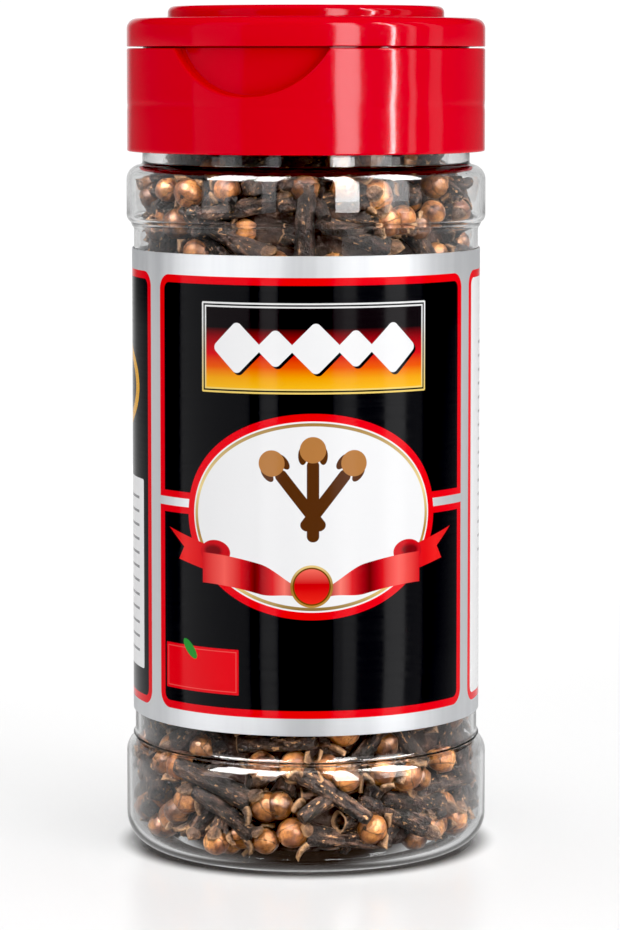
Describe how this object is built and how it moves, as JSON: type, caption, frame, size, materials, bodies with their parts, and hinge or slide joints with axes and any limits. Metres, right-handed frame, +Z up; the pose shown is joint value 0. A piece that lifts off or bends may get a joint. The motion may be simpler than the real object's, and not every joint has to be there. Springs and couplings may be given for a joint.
{
  "type": "spice jar of whole cloves",
  "caption": "Clear plastic spice jar of whole dried cloves with a wrap-round printed label and a red screw cap with a hinged flip lid.",
  "frame": {"origin": "centre of the jar's foot, on the surface that it stands on", "axes": "+Z up along the jar's axis, -Y towards the front panel of the label, +X to the right of it"},
  "size_m": [0.0456, 0.0456, 0.1058],
  "materials": {
    "clear_plastic": "clear, blow moulded, smooth and glossy",
    "label_film": "silvery printed film, satin",
    "red_cap": "bright red, injection moulded, glossy",
    "red_lid": "bright red, injection moulded, glossy",
    "dried_cloves": "dry dark brown flower buds with tan heads"
  },
  "bodies": {
    "jar": {"jar": "clear_plastic", "label": "label_film", "cap": "red_cap", "cloves": "dried_cloves"},
    "lid": {"flip_lid": "red_lid"}
  },
  "joints": [
    {"name": "lid_hinge", "type": "hinge", "parent": "jar", "child": "lid", "pos_m": [0.00847, 0.02095, 0.10066], "axis": [-0.9272, 0.3746, 0], "range_deg": [0, 150]}
  ]
}
